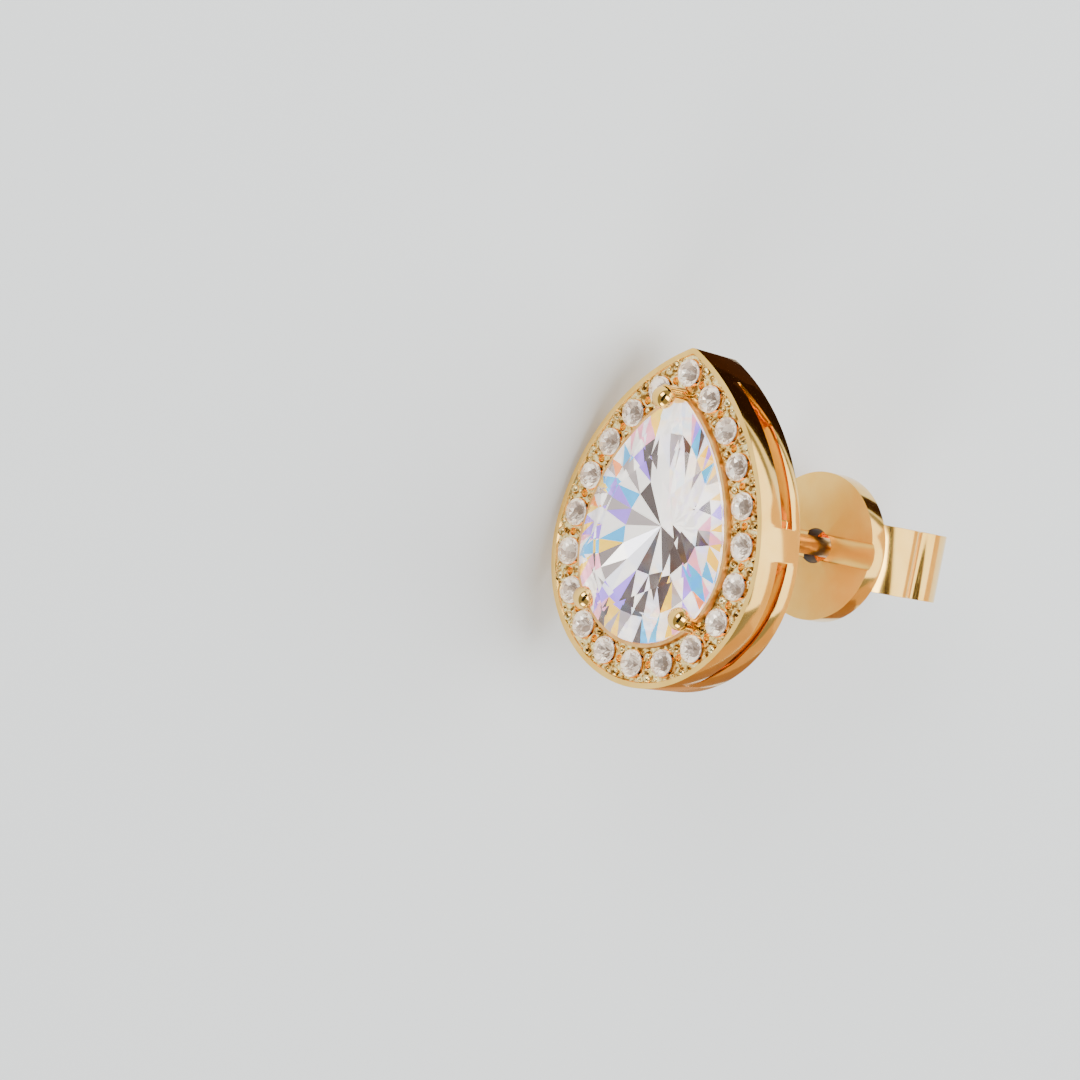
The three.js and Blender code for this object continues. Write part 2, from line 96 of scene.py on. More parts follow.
lens = bpy.data.cameras.new("camera")
lens.sensor_width = 36
lens.lens = lens.sensor_width * PIXELS_PER_MM * (VIEW_DISTANCE / MM) / FRAME_PIXELS
lens.clip_start = 0.01
lens.clip_end = 5
camera = bpy.data.objects.new("camera", lens)
camera.matrix_world = Matrix.Translation(eye) @ Matrix((right, above, away)).transposed().to_4x4()
bpy.context.collection.objects.link(camera)
bpy.context.scene.camera = camera


# A plain pale floor and soft studio light: sheets of light overhead, in front, behind and at the side,
# and dark and brown cards that only reflections see, for the bands that polished gold needs.
class Wire:
    """A shader value. Arithmetic on it adds Math nodes."""

    def __init__(self, tree, socket):
        self.tree = tree
        self.socket = socket

    def feed(self, target):
        self.tree.links.new(self.socket, target)

    def maths(self, operation, first, second):
        node = self.tree.nodes.new("ShaderNodeMath")
        node.operation = operation
        for target, value in zip(node.inputs, (first, second)):
            plug(value, target)
        return Wire(self.tree, node.outputs[0])

    def __add__(self, other):
        return self.maths("ADD", self, other)

    def __sub__(self, other):
        return self.maths("SUBTRACT", self, other)

    def __rsub__(self, other):
        return self.maths("SUBTRACT", other, self)

    def __mul__(self, other):
        return self.maths("MULTIPLY", self, other)

    __radd__ = __add__
    __rmul__ = __mul__


def plug(value, target):
    if isinstance(value, Wire):
        value.feed(target)
    else:
        target.default_value = value


class Finish:
    """A material, with its Principled shader's even values given by socket name."""

    def __init__(self, name, even):
        self.material = bpy.data.materials.new(name)
        self.material.use_nodes = True
        self.tree = self.material.node_tree
        self.shader = self.tree.nodes["Principled BSDF"]
        for socket, value in even.items():
            self.shader.inputs[socket].default_value = value

    def node(self, kind, settings, sockets, output=0):
        node = self.tree.nodes.new("ShaderNode" + kind)
        for name, value in settings.items():
            if name == "stops":
                self.fill_ramp(node.color_ramp, value)
            else:
                setattr(node, name, value)
        for name, value in sockets.items():
            plug(value, node.inputs[name])
        return Wire(self.tree, node.outputs[output])

    def fill_ramp(self, ramp, stops):
        while len(ramp.elements) < len(stops):
            ramp.elements.new(0.5)
        for element, (place, colour) in zip(ramp.elements, stops):
            element.position = place
            element.color = colour

    def drive(self, socket, wire):
        wire.feed(self.shader.inputs[socket])


def finished_object(name, mesh):
    piece = bpy.data.objects.new(name, mesh)
    bpy.context.collection.objects.link(piece)
    return piece


def sheet_of(name, width, height, place, facing):
    """A flat card of the given size in millimetres, centred at place and facing along a direction."""
    mesh = bpy.data.meshes.new(name)
    half_w, half_h = width / 2 * MM, height / 2 * MM
    corners = [(-half_w, -half_h, 0), (half_w, -half_h, 0), (half_w, half_h, 0), (-half_w, half_h, 0)]
    mesh.from_pydata(corners, [], [(0, 1, 2, 3)])
    card = finished_object(name, mesh)
    card.rotation_mode = "QUATERNION"
    card.rotation_quaternion = Vector(facing).to_track_quat("Z", "Y")
    card.location = Vector(place) * MM
    return card


FLOOR_SIZE = 3000
FLOOR_COLOUR = (0.80, 0.83, 0.83, 1)
floor_paint = Finish("pale_floor", {"Base Color": FLOOR_COLOUR, "Roughness": 0.75})
floor_paint.shader.inputs["Specular IOR Level"].default_value = 0.2
floor = sheet_of("floor", FLOOR_SIZE, FLOOR_SIZE, (0, 0, 0), (0, 0, 1))
floor.data.materials.append(floor_paint.material)

SKY_COLOUR = (1.0, 0.99, 0.97, 1)
SKY_STRENGTH = 0.4
world = bpy.data.worlds.new("studio")
world.use_nodes = True
world.node_tree.nodes["Background"].inputs["Color"].default_value = SKY_COLOUR
world.node_tree.nodes["Background"].inputs["Strength"].default_value = SKY_STRENGTH
bpy.context.scene.world = world

LIGHTS = {
    # name: (place in mm, size in mm, power in watts)
    "overhead_sheet": ((-60, 20, 260), (200, 120), 0.7),
    "front_sheet": ((-160, -220, 120), (180, 120), 0.5),
    "back_sheet": ((-85, 190, 140), (320, 250), 0.7),
    "side_sheet": ((230, -40, 110), (140, 110), 0.35),
}
for name, (place, size, power) in LIGHTS.items():
    lamp = bpy.data.lights.new(name, "AREA")
    lamp.shape = "RECTANGLE"
    lamp.size = size[0] * MM
    lamp.size_y = size[1] * MM
    lamp.energy = power
    holder = bpy.data.objects.new(name, lamp)
    holder.location = Vector(place) * MM
    holder.rotation_mode = "QUATERNION"
    holder.rotation_quaternion = Vector(place).to_track_quat("Z", "Y")
    bpy.context.collection.objects.link(holder)

CARDS = {
    # name: (place in mm, size in mm, the direction it faces, colour)
    "card_beside_tip": ((-11.5, -0.5, 3.2), (12, 6.2), (0.68, -0.73, 0), (0.02, 0.008, 0.004, 1)),
    "card_under_tip": ((-10.5, -1.5, 0.1), (8, 9), (0, 0, 1), (0.03, 0.012, 0.006, 1)),
    "card_beside_disc": ((-10, 10.5, 2.2), (8, 4.2), (0.7, -0.7, 0), (0.03, 0.012, 0.006, 1)),
    "card_on_horizon": ((-5, 120, 27), (130, 50), (0, -1, 0), (0.85, 0.56, 0.28, 1)),
    "card_over_scroll": ((-26, 56, 103), (120, 18), (0.217, -0.464, -0.858), (0.03, 0.012, 0.006, 1)),
    "card_at_right": ((80, 92, 28), (110, 76), (-0.65, -0.76, 0), (0.60, 0.36, 0.18, 1)),
    "card_beyond_foot": ((13, 6, 4), (16, 8), (-0.65, -0.75, 0), (0.36, 0.19, 0.09, 1)),
    "card_under_foot": ((11, 1, 0.2), (9, 9), (0, 0, 1), (0.45, 0.25, 0.12, 1)),
}
LENS_CARD_DISTANCE, LENS_CARD_SIZE, LENS_CARD_COLOUR = 190, (320, 90), (0.01, 0.01, 0.01, 1)
lens_card_place = tuple(away * LENS_CARD_DISTANCE)
CARDS["card_beside_lens"] = (lens_card_place, LENS_CARD_SIZE, -away, LENS_CARD_COLOUR)
for name, (place, size, facing, colour) in CARDS.items():
    card_paint = Finish(name, {"Base Color": colour, "Roughness": 1.0, "Specular IOR Level": 0.0})
    card = sheet_of(name, *size, place, facing)
    card.data.materials.append(card_paint.material)
    card.visible_camera = False
    card.visible_diffuse = False
    card.visible_transmission = False
    card.visible_shadow = False


# The setting: gold-plated silver, cast as one piece. A teardrop ring carries the halo of small stones
# on its front and is pierced by two slots a side. Three ball-tipped claws hold the main stone, and a bar
# across the open back carries the post, all soldered on.
HEAD_WIDTH, HEAD_HEIGHT, HEAD_DEPTH = 9.9, 12.3, 2.2
FLANK_START = math.radians(5)
TIP_RADIUS = 0.38
REAR_TAPER = 0.08
RIM_WIDTH, PAVE_SINK = 0.2, 0.07
PLATE_DEPTH, GALLERY_WALL = 0.85, 0.7
STONE_INSET, COLLAR_LIP, COLLAR_WALL, COLLAR_RISE = 1.6, 0.15, 0.32, 0.2
HALO_COUNT, HALO_INSET, HALO_DIAMETER = 20, 0.85, 0.98
OFFSET_ROUNDS, WALK_SAMPLES = 20, 2000
WELD_DISTANCE, FLAT_DISTANCE = 1e-5, 1e-6

round_radius = HEAD_WIDTH / 2
tip_height = HEAD_HEIGHT - round_radius


def flank_offset():
    """How far a flank's centre lies from the round end's centre, so that the tip is at its height."""
    rise = tip_height * math.sin(FLANK_START)
    sharp = (tip_height**2 - round_radius**2) / (2 * (round_radius - rise))
    offset = sharp
    for _ in range(OFFSET_ROUNDS):
        reach = round_radius + offset - TIP_RADIUS
        top = math.sqrt(reach**2 - (offset * math.cos(FLANK_START)) ** 2)
        top += TIP_RADIUS - offset * math.sin(FLANK_START)
        offset += (tip_height - top) * sharp / tip_height
    return offset


flank_extra = flank_offset()
flank_radius = round_radius + flank_extra
flank_x = -flank_extra * math.cos(FLANK_START)
flank_z = -flank_extra * math.sin(FLANK_START)
tip_centre_z = flank_z + math.sqrt((flank_radius - TIP_RADIUS) ** 2 - flank_x**2)
tip_angle = math.atan2(tip_centre_z - flank_z, -flank_x)
tip_length = TIP_RADIUS * (math.pi / 2 - tip_angle)
flank_length = flank_radius * (tip_angle - FLANK_START)
half_length = tip_length + flank_length + round_radius * (FLANK_START + math.pi / 2)


def pear_point(share, inset, side):
    """The outline moved inwards by inset, at a share of the way from the tip to the bottom."""
    way = share * half_length
    if way < tip_length and inset < TIP_RADIUS:
        angle = math.pi / 2 - way / TIP_RADIUS
        radius = TIP_RADIUS - inset
        return side * radius * math.cos(angle), tip_centre_z + radius * math.sin(angle)
    if way < tip_length + flank_length:
        radius = flank_radius - inset
        end = tip_angle if inset < TIP_RADIUS else math.acos(-flank_x / radius)
        done = max(0, way - tip_length) / flank_length
        angle = end + (FLANK_START - end) * done
        return side * (flank_x + radius * math.cos(angle)), flank_z + radius * math.sin(angle)
    radius = round_radius - inset
    angle = FLANK_START - (way - tip_length - flank_length) / round_radius
    return side * radius * math.cos(angle), radius * math.sin(angle)


def along_pear(inset, count, start=0.0):
    """Points at equal steps round the outline, the first at the tip or start steps past it."""
    walk = [(0.0, pear_point(0, inset, 1))]
    for i in range(1, WALK_SAMPLES + 1):
        point = pear_point(i / WALK_SAMPLES, inset, 1)
        walk.append((walk[-1][0] + math.dist(point, walk[-1][1]), point))
    length = walk[-1][0]
    points = []
    for i in range(count):
        place = (i + start) % count
        side = 1 if place <= count / 2 else -1
        wanted = min(place, count - place) / (count / 2) * length
        x, z = next((p for done, p in walk if done >= wanted - 1e-9), walk[-1][1])
        points.append((side * x, z))
    return points


def loft(sections, ring=False):
    """A mesh through like sections, each a list of points in the earring's own millimetres."""
    count = len(sections[0])
    faces = []
    for i in range(len(sections) if ring else len(sections) - 1):
        here, after = i * count, (i + 1) % len(sections) * count
        for j in range(count):
            k = (j + 1) % count
            faces.append((here + j, here + k, after + k, after + j))
    if not ring:
        faces.append(tuple(reversed(range(count))))
        faces.append(tuple(range((len(sections) - 1) * count, len(sections) * count)))
    return solid([point for section in sections for point in section], faces)


def solid(points, faces):
    """A closed bmesh with welded corners and its faces turned outwards."""
    form = bmesh.new()
    corners = [form.verts.new(point) for point in points]
    for face in faces:
        form.faces.new([corners[i] for i in face])
    bmesh.ops.remove_doubles(form, verts=form.verts, dist=WELD_DISTANCE)
    bmesh.ops.dissolve_degenerate(form, edges=form.edges, dist=FLAT_DISTANCE)
    bmesh.ops.recalc_face_normals(form, faces=form.faces)
    return form


def lathe(outline, sides, x=0.0, z=0.0):
    """A turned piece from [radius, y] pairs, with its axis along the post's way at x, z."""
    sections = []
    for i in range(sides):
        angle = 2 * math.pi * i / sides
        sections.append([(x + r * math.cos(angle), y, z + r * math.sin(angle)) for r, y in outline])
    points = [point for section in sections for point in section]
    count = len(outline)
    faces = []
    for i in range(sides):
        here, after = i * count, (i + 1) % sides * count
        for j in range(count - 1):
            faces.append((here + j, here + j + 1, after + j + 1, after + j))
    return solid(points, faces)


def block(low, high):
    """A box between two corners."""
    corners = list(itertools.product(*zip(low, high)))
    faces = [(0, 1, 3, 2), (4, 6, 7, 5), (0, 4, 5, 1), (2, 3, 7, 6), (0, 2, 6, 4), (1, 5, 7, 3)]
    return solid(corners, faces)


def joined(name, forms, material_index=0):
    """One object in own millimetres from several bmeshes."""
    mesh = bpy.data.meshes.new(name)
    whole = bmesh.new()
    for form in forms:
        part = bpy.data.meshes.new(name + "_part")
        form.to_mesh(part)
        form.free()
        whole.from_mesh(part)
        bpy.data.meshes.remove(part)
    for face in whole.faces:
        face.material_index = material_index
    whole.to_mesh(mesh)
    whole.free()
    return finished_object(name, mesh)


def applied(piece, kind, **settings):
    """Adds a modifier with the given settings and applies it."""
    modifier = piece.modifiers.new(kind.lower(), kind)
    for name, value in settings.items():
        setattr(modifier, name, value)
    graph = bpy.context.evaluated_depsgraph_get()
    mesh = bpy.data.meshes.new_from_object(piece.evaluated_get(graph))
    piece.modifiers.clear()
    old = piece.data
    piece.data = mesh
    bpy.data.meshes.remove(old)
    return piece


def carve(piece, forms):
    """Cuts the forms out of the piece."""
    cutter = joined(piece.name + "_cutter", forms)
    applied(piece, "BOOLEAN", operation="DIFFERENCE", solver="EXACT", use_self=True, object=cutter)
    bpy.data.objects.remove(cutter)


BEVEL_ANGLE, SHARP_ANGLE = math.radians(32), math.radians(35)


def soften(piece, width, segments=2):
    """Rounds the sharp edges, so that they catch the light."""
    applied(
        piece, "BEVEL", width=width, segments=segments, limit_method="ANGLE",
        angle_limit=BEVEL_ANGLE, use_clamp_overlap=True, harden_normals=False,
    )


def settle(piece, smooth=True):
    """Moves a piece from its own millimetres to its place on the laid-down earring."""
    piece.data.transform(own)
    for face in piece.data.polygons:
        face.use_smooth = smooth
    if smooth:
        piece.data.set_sharp_from_angle(angle=SHARP_ANGLE)
        applied(piece, "WEIGHTED_NORMAL", keep_sharp=True, weight=50)
    piece.data.update()


def section_at(share, side, profile):
    points = []
    for inset, y in profile:
        x, z = pear_point(share, inset, side)
        points.append((x, y, z))
    return points


def ring_shares(tip_steps, flank_steps, round_steps):
    tip, flank = tip_length / half_length, (tip_length + flank_length) / half_length
    shares = [tip * i / tip_steps for i in range(tip_steps)]
    shares += [tip + (flank - tip) * i / flank_steps for i in range(flank_steps)]
    return shares + [flank + (1 - flank) * i / round_steps for i in range(round_steps + 1)]


RING_STEPS = (5, 56, 56)


def pear_ring(profile):
    shares = ring_shares(*RING_STEPS)
    right_half = [section_at(share, 1, profile) for share in shares]
    left_half = [section_at(share, -1, profile) for share in shares[1:-1]]
    return loft(right_half + left_half[::-1], ring=True)


# start and end as shares of the outline, then the front and rear edges' depths at either end
UPPER_SLOT = (0.1, 0.445, (0.9, 1.15), (1.6, 1.75))
LOWER_SLOT = (0.517, 0.88, (1.05, 0.95), (1.62, 1.15))
SLOT_POINT_SHARE, SLOT_SLIM, SLOT_STEPS = 0.3, 0.2, 40


def gallery_slot(start, end, front_y, rear_y, side, pointed_at_start):
    """A slot through the gallery wall. At its pointed end its rear edge closes in on its front edge."""
    outside, inside = -0.5, GALLERY_WALL + 0.2
    sections = []
    for i in range(SLOT_STEPS + 1):
        done = i / SLOT_STEPS
        from_point = done if pointed_at_start else 1 - done
        open_share = SLOT_SLIM + (1 - SLOT_SLIM) * min(1, from_point / SLOT_POINT_SHARE)
        front = front_y[0] + (front_y[1] - front_y[0]) * done
        full_rear = rear_y[0] + (rear_y[1] - rear_y[0]) * done
        rear = front + (full_rear - front) * open_share
        profile = [(outside, front), (inside, front), (inside, rear), (outside, rear)]
        sections.append(section_at(start + (end - start) * done, side, profile))
    return loft(sections)


halo_places = along_pear(HALO_INSET, HALO_COUNT)
gap_places = along_pear(HALO_INSET, HALO_COUNT, start=0.5)
SEAT_CLEARANCE, SEAT_SIDES, PIT_SIDES = 0.04, 32, 12


def halo_seat(x, z):
    radius = HALO_DIAMETER / 2 + SEAT_CLEARANCE
    outline = [(0, -1), (radius, -1), (radius, 0.06), (0.25, 0.42), (0.25, 0.7), (0, 0.7)]
    return lathe(outline, SEAT_SIDES, x, z)


def gap_pit(x, z):
    """The dark little pit that the graver leaves between two stones."""
    return lathe([(0, -1), (0.15, -1), (0.15, 0.2), (0.05, 0.34), (0, 0.34)], PIT_SIDES, x, z)


collar_outer = STONE_INSET - COLLAR_LIP
collar_inner = collar_outer + COLLAR_WALL
head = joined("head_ring", [pear_ring([
    (0, 0), (RIM_WIDTH, 0), (RIM_WIDTH + PAVE_SINK / 2, PAVE_SINK), (collar_outer, PAVE_SINK),
    (collar_outer, -COLLAR_RISE), (collar_outer + 0.11, -COLLAR_RISE), (collar_inner, -COLLAR_RISE + 0.2),
    (collar_inner, PLATE_DEPTH), (GALLERY_WALL, PLATE_DEPTH), (GALLERY_WALL, HEAD_DEPTH),
    (REAR_TAPER, HEAD_DEPTH),
])])
slots = []
for side in (1, -1):
    slots.append(gallery_slot(*UPPER_SLOT, side, True))
    slots.append(gallery_slot(*LOWER_SLOT, side, False))
carve(head, slots)
carve(head, [halo_seat(x, z) for x, z in halo_places] + [gap_pit(x, z) for x, z in gap_places])
soften(head, 0.035)

CLAW_RADIUS, BALL_RADIUS, CLAW_REACH = 0.3, 0.42, 0.18
TURNED_SIDES, BALL_RINGS = 40, 24
LOWER_BALL_Y, TIP_BALL_Y = -0.6, -1.1
LOWER_CLAW_ANGLE = math.radians(43)


def claw(x, z, ball_y):
    """A rod that stands on the plate, and the ball at its head that leans over the stone."""
    rod = lathe([
        (0, ball_y), (CLAW_RADIUS, ball_y), (CLAW_RADIUS, -0.1), (CLAW_RADIUS + 0.03, 0.02),
        (CLAW_RADIUS + 0.1, PAVE_SINK + 0.02), (CLAW_RADIUS + 0.1, 0.5), (0, 0.5),
    ], TURNED_SIDES, x, z)
    inwards = 1 - CLAW_REACH / math.hypot(x, z)
    ball = bmesh.new()
    bmesh.ops.create_uvsphere(ball, u_segments=TURNED_SIDES, v_segments=BALL_RINGS, radius=BALL_RADIUS)
    bmesh.ops.translate(ball, verts=ball.verts, vec=(x * inwards, ball_y, z * inwards))
    return rod, ball


girdle_radius = round_radius - STONE_INSET
claw_x = girdle_radius * math.cos(LOWER_CLAW_ANGLE)
claw_z = -girdle_radius * math.sin(LOWER_CLAW_ANGLE)
rods, balls = zip(
    claw(0, pear_point(0, STONE_INSET, 1)[1], TIP_BALL_Y),
    claw(claw_x, claw_z, LOWER_BALL_Y),
    claw(-claw_x, claw_z, LOWER_BALL_Y),
)

BRIDGE_WIDTH, BRIDGE_THICKNESS = 1.6, 0.5
BOSS_RADIUS, BOSS_HEIGHT = 1.0, 0.3
POST_RADIUS, POST_LENGTH, POST_HEIGHT = 0.36, 11.55, 1.2
bridge_half = round_radius - REAR_TAPER - GALLERY_WALL / 2 - 0.12
bridge = joined("bridge", [block(
    (-bridge_half, HEAD_DEPTH - BRIDGE_THICKNESS, POST_HEIGHT - BRIDGE_WIDTH / 2),
    (bridge_half, HEAD_DEPTH, POST_HEIGHT + BRIDGE_WIDTH / 2),
)])
soften(bridge, 0.08, 3)
boss_top = HEAD_DEPTH + BOSS_HEIGHT
post_end = HEAD_DEPTH + POST_LENGTH
post_outline = [
    (0, HEAD_DEPTH - 0.05), (BOSS_RADIUS, HEAD_DEPTH - 0.05), (BOSS_RADIUS, boss_top - 0.1),
    (BOSS_RADIUS - 0.03, boss_top - 0.03), (BOSS_RADIUS - 0.1, boss_top), (POST_RADIUS + 0.12, boss_top),
    (POST_RADIUS + 0.03, boss_top + 0.04), (POST_RADIUS, boss_top + 0.14), (POST_RADIUS, post_end - 0.3),
    (POST_RADIUS * 0.9, post_end - 0.12), (POST_RADIUS * 0.6, post_end - 0.02), (0, post_end),
]
post = lathe(post_outline, TURNED_SIDES, 0, POST_HEIGHT)


def grain(x, z, radius):
    """A bead of metal raised beside a stone."""
    form = bmesh.new()
    bmesh.ops.create_icosphere(form, subdivisions=3, radius=radius)
    bmesh.ops.translate(form, verts=form.verts, vec=(x, PAVE_SINK + 0.02, z))
    return form


GRAIN_ROWS = [
    # inset from the edge, steps past a stone, radius
    (0.36, 0.5, 0.18),
    (1.20, 0.5, 0.16),
    (0.34, 0.26, 0.09),
    (0.34, 0.74, 0.09),
    (1.26, 0.28, 0.08),
    (1.26, 0.72, 0.08),
    (0.62, 0.5, 0.08),
]
grains = []
for inset, start, radius in GRAIN_ROWS:
    grains += [grain(x, z, radius) for x, z in along_pear(inset, HALO_COUNT, start)]

OBJECT_OUTPUT = 3  # of a Texture Coordinate node


def speckled(name, metallic, scale, detail, stops):
    """A metal whose tint follows fine noise, with the noise and the coordinates that it is read at."""
    finish = Finish(name, {"Metallic": metallic})
    place = finish.node("TexCoord", {}, {}, OBJECT_OUTPUT)
    speck = finish.node("TexNoise", {}, {"Vector": place, "Scale": scale, "Detail": detail})
    finish.drive("Base Color", finish.node("ValToRGB", {"stops": stops}, {"Fac": speck}))
    return finish, speck, place


gold, haze, place = speckled("polished_gold", 1.0, 900.0, 3.0, [
    (0.35, (0.89, 0.53, 0.11, 1)), (0.65, (0.97, 0.61, 0.16, 1)),
])
gold.drive("Roughness", haze * 0.06 + 0.09)
ripple = gold.node("TexNoise", {}, {"Vector": place, "Scale": 420.0, "Detail": 2.0})
gold.drive("Normal", gold.node("Bump", {}, {"Height": ripple, "Strength": 0.05, "Distance": 0.0001}))

satin, haze, place = speckled("satin_gold", 1.0, 1500.0, 2.0, [
    (0.35, (0.70, 0.36, 0.10, 1)), (0.65, (0.88, 0.52, 0.18, 1)),
])
satin.drive("Roughness", haze * 0.1 + 0.26)

# The pavé's tint follows the same noise as its bumps. It paints shade, near black, in the low spots
# between the grains, and paints highlights, pale gold, on the high spots.
pave, speck, place = speckled("pave_gold", 1.0, 5200.0, 2.0, [
    (0.40, (0.22, 0.10, 0.02, 1)), (0.47, (0.72, 0.44, 0.11, 1)), (0.62, (1.0, 0.86, 0.42, 1)),
])
pave.drive("Roughness", speck * 0.2 + 0.14)
pave.drive("Normal", pave.node("Bump", {}, {"Height": speck, "Strength": 0.9, "Distance": 0.00005}))

GOLD, PAVE, SATIN = 0, 1, 2
post = joined("ear_post", [post], SATIN)
claws = joined("claws", [*rods, *balls], GOLD)
beads = joined("setting_grains", grains, PAVE)
COLLAR_Y, PAVE_Y = -0.02, (0.02, PAVE_SINK + 0.04)
for face in head.data.polygons:
    middle_y = face.center.y
    if middle_y < COLLAR_Y:
        face.material_index = SATIN
    elif face.normal.y < -0.5 and PAVE_Y[0] < middle_y < PAVE_Y[1]:
        face.material_index = PAVE
    else:
        face.material_index = GOLD
metal = bmesh.new()
for part in (head, bridge, post, claws, beads):
    metal.from_mesh(part.data)
setting_mesh = bpy.data.meshes.new("setting_metal")
metal.to_mesh(setting_mesh)
metal.free()
for part in (head, bridge, post, claws, beads):
    bpy.data.objects.remove(part)
for finish in (gold, pave, satin):
    setting_mesh.materials.append(finish.material)
setting = finished_object("setting_metal", setting_mesh)
settle(setting)
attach(setting, "earring")
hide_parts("setting")


# The main stone: a clear pear brilliant, ground and polished, and held by the three claws. Its crown is
# glass that bends the view.
# The small facets of its pavilion are opaque and glow. Their white, dark and spectral colours are painted
# reflections and painted sparkle, standing in for the light that a brilliant throws back.
STONE_MAINS = 8
STONE_EDGE_POINTS = 64
STONE_GIRDLE_Y, GIRDLE_HEIGHT = -0.15, 0.12
CROWN_HEIGHT, PAVILION_DEPTH, TABLE_SHARE = 0.9, 1.48, 0.58
PAVILION_RINGS = (0.7, 0.42)
FACETS_MEET_Z = 0.9  # where the pavilion's wedges meet, above the round end's centre


def brilliant(edge, sizes, x=0.0, z=0.0):
    """Points and faces of a brilliant. A face is its corners and its place: a ring's number from the
    girdle down, or None on the crown and the girdle."""
    count = len(edge)
    step = count // STONE_MAINS
    girdle_top = sizes["girdle_y"] - sizes["girdle"]
    lean = math.cos(math.pi / STONE_MAINS)
    star_share = (1 + sizes["table"]) / 2
    star_rise = sizes["crown"] * (1 - star_share * lean) / (1 - sizes["table"])
    points, faces = [], []

    def add(corners, share, y, meeting_z=0.0):
        shift = meeting_z * (1 - share)
        points.extend((x + share * cx, y, z + share * cz + shift) for cx, cz in corners)
        return len(points) - len(corners)

    table = add(edge[::step], sizes["table"], girdle_top - sizes["crown"])
    star = add(edge[step // 2::step], star_share, girdle_top - star_rise)
    upper = add(edge, 1, girdle_top)
    faces.append((range(table, table + STONE_MAINS), None))
    for k in range(STONE_MAINS):
        after, before = (k + 1) % STONE_MAINS, (k - 1) % STONE_MAINS
        here = k * step
        faces.append(((table + k, star + k, table + after), None))
        faces.append(((table + k, star + before, upper + here, star + k), None))
        for i in range(here, here + step):
            faces.append(((star + k, upper + i, upper + (i + 1) % count), None))
    outer = add(edge, 1, sizes["girdle_y"])
    for i in range(count):
        j = (i + 1) % count
        faces.append(((upper + i, outer + i, outer + j, upper + j), None))
    corners = edge
    for number, share in enumerate(PAVILION_RINGS):
        size = len(corners)
        corners = corners[1::2]
        drop = sizes["pavilion"] * (1 - share)
        inner = add(corners, share, sizes["girdle_y"] + drop, sizes["meeting_z"])
        for k in range(size // 2):
            one, two, three = (outer + (2 * k + i) % size for i in range(3))
            faces.append(((one, two, inner + k), number))
            faces.append(((two, three, inner + k), number))
            faces.append(((three, inner + (k + 1) % (size // 2), inner + k), number))
        outer = inner
    tail = add([(0, 0)], 0, sizes["girdle_y"] + sizes["pavilion"], sizes["meeting_z"])
    for k in range(len(corners)):
        faces.append(((outer + k, outer + (k + 1) % len(corners), tail), len(PAVILION_RINGS)))
    return points, faces


def cut_stone(name, points, faces, sparkle_of, glass, facets):
    """A settled stone whose pavilion facets glow with painted reflections, each facet's colour chosen by
    the given function from its ring.
    """
    mesh = bpy.data.meshes.new(name)
    mesh.from_pydata(points, [], [list(corners) for corners, ring in faces])
    mesh.materials.append(glass.material)
    mesh.materials.append(facets.material)
    sparkle_colours = mesh.color_attributes.new("facet_hue", "FLOAT_COLOR", "CORNER")
    for face, (corners, ring) in zip(mesh.polygons, faces):
        sparkle = (1, 1, 1, 1) if ring is None else sparkle_of(ring)
        face.material_index = 0 if ring is None else 1
        for corner in face.loop_indices:
            sparkle_colours.data[corner].color = sparkle
    form = bmesh.new()
    form.from_mesh(mesh)
    bmesh.ops.recalc_face_normals(form, faces=form.faces)
    form.to_mesh(mesh)
    form.free()
    stone = finished_object(name, mesh)
    settle(stone, smooth=False)
    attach(stone, "earring")
    return stone


# Painted reflections and sparkle for the glowing pavilion facets: white and cool glints, dark reflections
# and spectral fire.
SPARKLE_HUES = {
    "white": (1.0, 0.96, 0.89, 1),
    "cool": (0.84, 0.83, 0.90, 1),
    "ash": (0.34, 0.29, 0.28, 1),
    "umber": (0.06, 0.04, 0.035, 1),
    "lilac": (0.34, 0.17, 0.85, 1),
    "cyan": (0.02, 0.42, 0.85, 1),
    "yellow": (1.0, 0.62, 0.02, 1),
    "pink": (0.90, 0.32, 0.46, 1),
    "orange": (0.95, 0.25, 0.04, 1),
}
SPARKLE_SHARES = [
    # one row a ring from the girdle down, in the order of the painted colours above
    (34, 8, 5, 9, 10, 6, 14, 8, 6),
    (46, 10, 6, 16, 8, 6, 5, 3, 0),
    (58, 14, 4, 24, 0, 0, 0, 0, 0),
]
glitter = random.Random(41)


def main_sparkle(ring):
    return SPARKLE_HUES[glitter.choices(list(SPARKLE_HUES), SPARKLE_SHARES[ring])[0]]


clear = Finish("clear_stone", {
    "Base Color": (1, 1, 1, 1), "Roughness": 0.0, "IOR": 1.6, "Transmission Weight": 1.0,
})
# The pavilion facets glow by emission in their painted colours. These are painted reflections and
# sparkle, not the stone's own colour.
facet = Finish("glowing_painted_sparkle", {"Metallic": 0.4, "Emission Strength": 1.3})
sparkle = facet.node("Attribute", {"attribute_name": "facet_hue"}, {})
facet.drive("Base Color", sparkle)
facet.drive("Emission Color", sparkle)
place = facet.node("TexCoord", {}, {}, OBJECT_OUTPUT)
grind = facet.node("TexNoise", {}, {"Vector": place, "Scale": 700.0, "Detail": 1.0})
facet.drive("Roughness", grind * 0.1 + 0.02)

points, faces = brilliant(along_pear(STONE_INSET, STONE_EDGE_POINTS), {
    "table": TABLE_SHARE, "crown": CROWN_HEIGHT, "girdle_y": STONE_GIRDLE_Y,
    "girdle": GIRDLE_HEIGHT, "pavilion": PAVILION_DEPTH, "meeting_z": FACETS_MEET_Z,
})
stone = cut_stone("pear_stone", points, faces, main_sparkle, clear, facet)
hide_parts("centre_stone")
